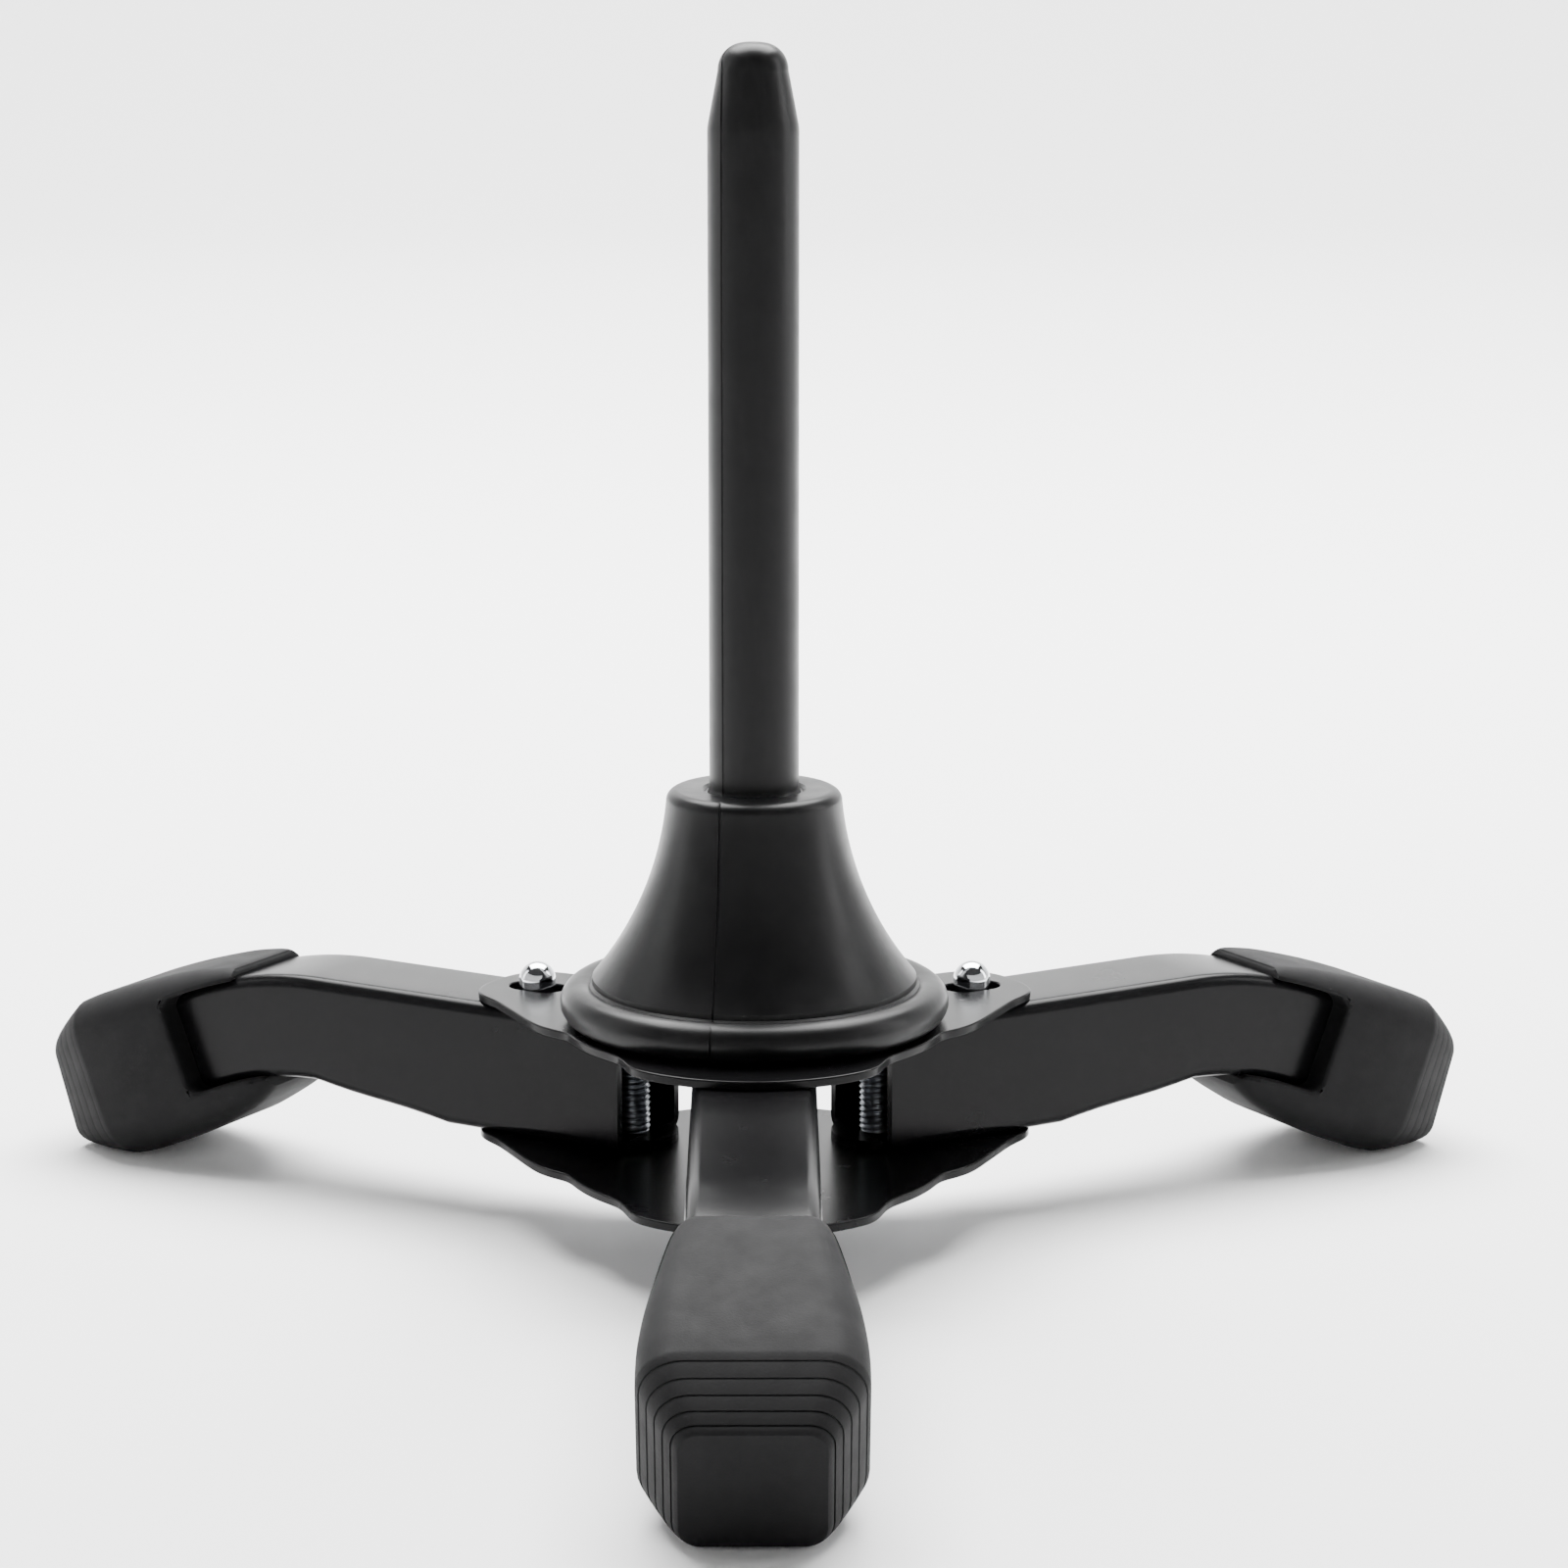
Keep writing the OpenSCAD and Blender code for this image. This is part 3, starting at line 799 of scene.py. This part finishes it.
def lock_button():
    """A domed button on its flange, heights from the top plate's top face."""
    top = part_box("left_lock_button")[1].z / MM - HUB_Z
    low = TUBE_TOP - LEG_WALL - FLANGE_T
    shoulder = top - BUTTON_R
    rings = [(low, FLANGE_R - 0.15), (low + 0.15, FLANGE_R), (low + FLANGE_T - 0.15, FLANGE_R),
             (low + FLANGE_T, FLANGE_R - 0.15), (low + FLANGE_T, BUTTON_R), (shoulder, BUTTON_R)]
    rings += [(shoulder + BUTTON_R * math.sin(a), BUTTON_R * math.cos(a))
              for a in [math.radians(4 * i) for i in range(1, 22)]]
    return spun(rings + [(top, 0.08)])


class PEGSTAND_OT_lock_buttons(bpy.types.Operator):
    """Make the sprung lock buttons and the strip springs under them"""
    bl_idname = "pegstand.lock_buttons"
    bl_label = "Lock Buttons"

    def execute(self, context):
        for side, azimuth in SIDES:
            piece(side + "_button_dome", lock_button(), hub_frame(azimuth, BUTTON_REACH),
                  side + "_button", chrome_plate(), [side + "_lock_button"])
            pressed_copy(side + "_spring_strip", side + "_lock_spring", side + "_leg",
                         spring_strip(), 0.12)
        return {"FINISHED"}


# ---- fasteners ----

def hexagon(across_flats):
    """Radius of a hexagon at an angle."""
    sixth = math.pi / 3
    return lambda angle, _z: across_flats / 2 / math.cos((angle + sixth / 2) % sixth - sixth / 2)


def thread(bottom, top, radius, mm):
    """Rings of a right-hand thread."""
    pitch, depth = mm["thread_pitch"], mm["thread_depth"]

    def crest(angle, z):
        phase = (z / pitch - angle / (2 * math.pi)) % 1
        return radius - depth * min(1, 1.35 * abs(2 * phase - 1))
    count = max(2, int((top - bottom) / pitch * 6))
    return ([(bottom, radius - depth - 0.5), (bottom + 0.5, radius - depth)]
            + [(bottom + 0.6 + (top - bottom - 0.6) * i / count, crest) for i in range(count + 1)])


def socket_bolt(length, radius, head_r, head_h, mm):
    """A low-headed bolt with a hexagon socket."""
    flats = radius * 1.35
    rings = thread(-length, -PLATE_T - 0.5, radius, mm)
    rings += [(-PLATE_T - 0.4, radius), (0.0, radius), (0.0, head_r - 0.1), (0.12, head_r),
              (head_h * 0.5, head_r), (head_h * 0.8, head_r * 0.9), (head_h, head_r * 0.74),
              (head_h, flats / 2 + 0.45), (head_h - 0.15, hexagon(flats)),
              (head_h - 1.3, hexagon(flats)), (head_h - 1.4, 0.3)]
    return spun(rings, 60)


def lock_nut(bottom, top, flats, bore):
    """A hexagon nut whose collar holds a nylon ring, with the collar below."""
    collar = bottom + (top - bottom) * 0.22
    rings = [(bottom, bore), (bottom, flats * 0.36), (bottom + 0.25, flats * 0.44),
             (collar, flats * 0.45), (collar + 0.05, flats * 0.49),
             (collar + 0.45, hexagon(flats)), (top - 0.3, hexagon(flats)),
             (top, flats * 0.49), (top, bore)]
    return spun(rings, closed=True)


def flat_ring(bottom, top, outer, bore):
    edge = min(0.12, (top - bottom) / 4)
    rings = [(bottom, bore), (bottom, outer - edge), (bottom + edge, outer), (top - edge, outer),
             (top, outer - edge), (top, bore)]
    return spun(rings, closed=True)


def span(node):
    """Lowest and highest point of a CAD piece, from the top plate's top face."""
    low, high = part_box(node)
    return low.z / MM - HUB_Z, high.z / MM - HUB_Z


FRONT_BOLTS = (14.5, 23.7)      # how far from the peg's axis the front leg's bolts stand
HEAD_R = 4.8
FRONT_HEAD_R = 4.2
NUT_FLATS = 10
FRONT_NUT_FLATS = 8
WASHER_R = 6.0
FRONT_WASHER_R = 4.4
CENTRE_WASHER_R = 8.0
SPACER_R = 6.0
INSERT_R = 4.2
CENTRE_HEAD_H = 4.0
CENTRE_FLATS = 10


class PEGSTAND_OT_fasteners(bpy.types.Operator):
    """Make the bolts, nuts, washers, spacer and insert of the hub"""
    bl_idname = "pegstand.fasteners"
    bl_label = "Fasteners"

    def execute(self, context):
        mm = sizes()
        steel = zinc_plate()
        for side, azimuth in SIDES:
            at = hub_frame(azimuth, PIVOT_REACH)
            low, high = span(side + "_pivot_bolt")
            screw = socket_bolt(-low, BOLT_R, HEAD_R, high, mm)
            nut = lock_nut(*span(side + "_pivot_nut"), NUT_FLATS, BORE_R)
            washer = flat_ring(*span(side + "_pivot_washer"), WASHER_R, BORE_R)
            for name, bm, node in (("screw", screw, "bolt"), ("lock_nut", nut, "nut"),
                                   ("flat_washer", washer, "washer")):
                piece(side + "_pivot_" + name, bm, at, "stand", steel,
                      [side + "_pivot_" + node])
        self.front_set(mm, steel)
        low, high = span("centre_bolt")
        piece("centre_screw", centre_screw(low, high, mm), hub_frame(), "stand",
              steel, ["centre_bolt"])
        for name, node, outer, slot, metal in (
                ("centre_flat_washer", "centre_washer", CENTRE_WASHER_R, "fasteners", steel),
                ("centre_spacer_tube", "centre_spacer", SPACER_R, "fasteners", steel),
                ("peg_threaded_insert", "peg_insert", INSERT_R, "insert", turned_brass())):
            piece(name, flat_ring(*span(node), outer, BORE_R), hub_frame(), "stand", metal,
                  [node])
        return {"FINISHED"}

    def front_set(self, mm, steel):
        """The front leg's two bolts, each kind in one piece."""
        frames = [Matrix.Translation((r, 0, 0)) for r in FRONT_BOLTS]
        low, high = span("front_leg_bolts")
        nut, washer = span("front_leg_nuts"), span("front_leg_washers")
        kinds = (
            ("front_screws", "front_leg_bolts",
             lambda: socket_bolt(-low, FRONT_BOLT_R, FRONT_HEAD_R, high, mm)),
            ("front_lock_nuts", "front_leg_nuts",
             lambda: lock_nut(*nut, FRONT_NUT_FLATS, FRONT_BORE_R)),
            ("front_flat_washers", "front_leg_washers",
             lambda: flat_ring(*washer, FRONT_WASHER_R, FRONT_BORE_R)))
        for name, node, make in kinds:
            both = joined(*[moved(make(), f) for f in frames])
            piece(name, both, hub_frame(FRONT), "stand", steel, [node])


def centre_screw(low, high, mm):
    """The hexagon-headed bolt that draws the peg down, its head below."""
    head = low + CENTRE_HEAD_H
    flats = hexagon(CENTRE_FLATS)
    rings = [(low + 0.05, 3.9), (low, 4.2), (low + 0.35, 4.9), (low + 0.75, flats),
             (head, flats), (head, BOLT_R), (head + 2, BOLT_R)]
    return spun(rings + thread(head + 2.2, high - 0.3, BOLT_R, mm)[2:] + [(high, 2.4)])


# ---- stage ----

# the camera: where it stands, how it leans, and its lens on a 36 mm sensor
CAMERA_AT = (1.5, -676.9, 178.2)
CAMERA_LEAN = 11.55
CAMERA_TURN = -0.29
LENS = 96.1

# the floor in metres: how far it lies flat, and the curve and the height of its wall
FLOOR_R = 2.4
CURVE_R = 0.9
WALL_TOP = 2.4
FLOOR_STEPS = 96


def area_light(name, place, aim, width, height, power):
    light = bpy.data.lights.new(name, "AREA")
    light.shape = "RECTANGLE"
    light.size = width
    light.size_y = height
    light.energy = power
    obj = bpy.data.objects.new(name, light)
    obj.location = place
    obj.rotation_euler = (Vector(aim) - Vector(place)).to_track_quat("-Z", "Y").to_euler()
    bpy.context.scene.collection.objects.link(obj)


class PEGSTAND_OT_stage(bpy.types.Operator):
    """Make the pale floor, the soft lights and the camera"""
    bl_idname = "pegstand.stage"
    bl_label = "Stage"

    def execute(self, context):
        # a round floor that curves up into a wall far outside the camera's view
        line = [(0.02, 0.0), (0.5, 0.0), (1.5, 0.0), (FLOOR_R, 0.0)]
        line += [(FLOOR_R + CURVE_R * math.sin(a), CURVE_R * (1 - math.cos(a)))
                 for a in [math.radians(6 * i) for i in range(1, 16)]]
        line.append((FLOOR_R + CURVE_R, WALL_TOP))
        turns = [2 * math.pi * i / FLOOR_STEPS for i in range(FLOOR_STEPS)]
        bm = bmesh.new()
        rows = [[bm.verts.new((r * math.cos(a), r * math.sin(a), z)) for a in turns]
                for r, z in line]
        for a, b in zip(rows, rows[1:]):
            for i in range(FLOOR_STEPS):
                bm.faces.new((a[i - 1], a[i], b[i], b[i - 1]))
        bm.faces.new(rows[0])
        for face in bm.faces:
            face.smooth = True
        floor = scratch_object("studio_floor", bm)
        floor.data.materials.append(floor_card())
        area_light("overhead_softbox", (0.0, 0.5, 1.2), (0, 0.15, 0), 1.5, 0.9, 92)
        area_light("backdrop_light", (0.0, 1.6, 1.7), (0, 2.6, 0), 2.4, 0.8, 140)
        area_light("left_softbox", (-1.1, 0.15, 0.5), (0, 0, 0.08), 0.2, 0.9, 2.5)
        area_light("right_softbox", (1.1, 0.1, 0.5), (0, 0, 0.08), 0.25, 0.9, 5)
        world = bpy.data.worlds.new("studio_world")
        bpy.context.scene.world = world
        world.use_nodes = True
        back = world.node_tree.nodes["Background"]
        back.inputs["Color"].default_value = (*linear("#f2f2f2"), 1)
        back.inputs["Strength"].default_value = 0.08
        self.camera()
        return {"FINISHED"}

    def camera(self):
        camera = bpy.data.cameras.new("studio_camera")
        camera.sensor_width = 36
        camera.lens = LENS
        camera.clip_start = 0.01
        obj = bpy.data.objects.new("studio_camera", camera)
        x, y, z = CAMERA_AT
        obj.location = (x * MM, y * MM, (z + HUB_Z) * MM)
        obj.rotation_euler = (math.radians(90 - CAMERA_LEAN), 0, math.radians(CAMERA_TURN))
        bpy.context.scene.collection.objects.link(obj)
        bpy.context.scene.camera = obj


# ---- panel and registration ----

OPERATORS = (PEGSTAND_OT_stage, PEGSTAND_OT_peg_and_bell, PEGSTAND_OT_hub_plates, PEGSTAND_OT_legs,
             PEGSTAND_OT_feet, PEGSTAND_OT_lock_buttons, PEGSTAND_OT_fasteners)


class PEGSTAND_PT_panel(bpy.types.Panel):
    """The stand's sizes, colours and pieces"""
    bl_idname = "PEGSTAND_PT_panel"
    bl_label = "Peg Stand"
    bl_space_type = "VIEW_3D"
    bl_region_type = "UI"
    bl_category = "Peg Stand"

    def draw(self, context):
        for group in (context.scene.peg_stand_sizes, context.scene.peg_stand_colours):
            box = self.layout.box()
            for name in fields(group):
                box.prop(group, name)
        for operator in OPERATORS:
            self.layout.operator(operator.bl_idname)


CLASSES = (PegStandSizes, PegStandColours, *OPERATORS, PEGSTAND_PT_panel)


def register():
    for cls in CLASSES:
        bpy.utils.register_class(cls)
    bpy.types.Scene.peg_stand_sizes = bpy.props.PointerProperty(type=PegStandSizes)
    bpy.types.Scene.peg_stand_colours = bpy.props.PointerProperty(type=PegStandColours)


def unregister():
    del bpy.types.Scene.peg_stand_colours
    del bpy.types.Scene.peg_stand_sizes
    for cls in reversed(CLASSES):
        bpy.utils.unregister_class(cls)


def main():
    register()
    for operator in OPERATORS:
        group, name = operator.bl_idname.split(".")
        getattr(getattr(bpy.ops, group), name)()


if __name__ == "__main__":
    main()
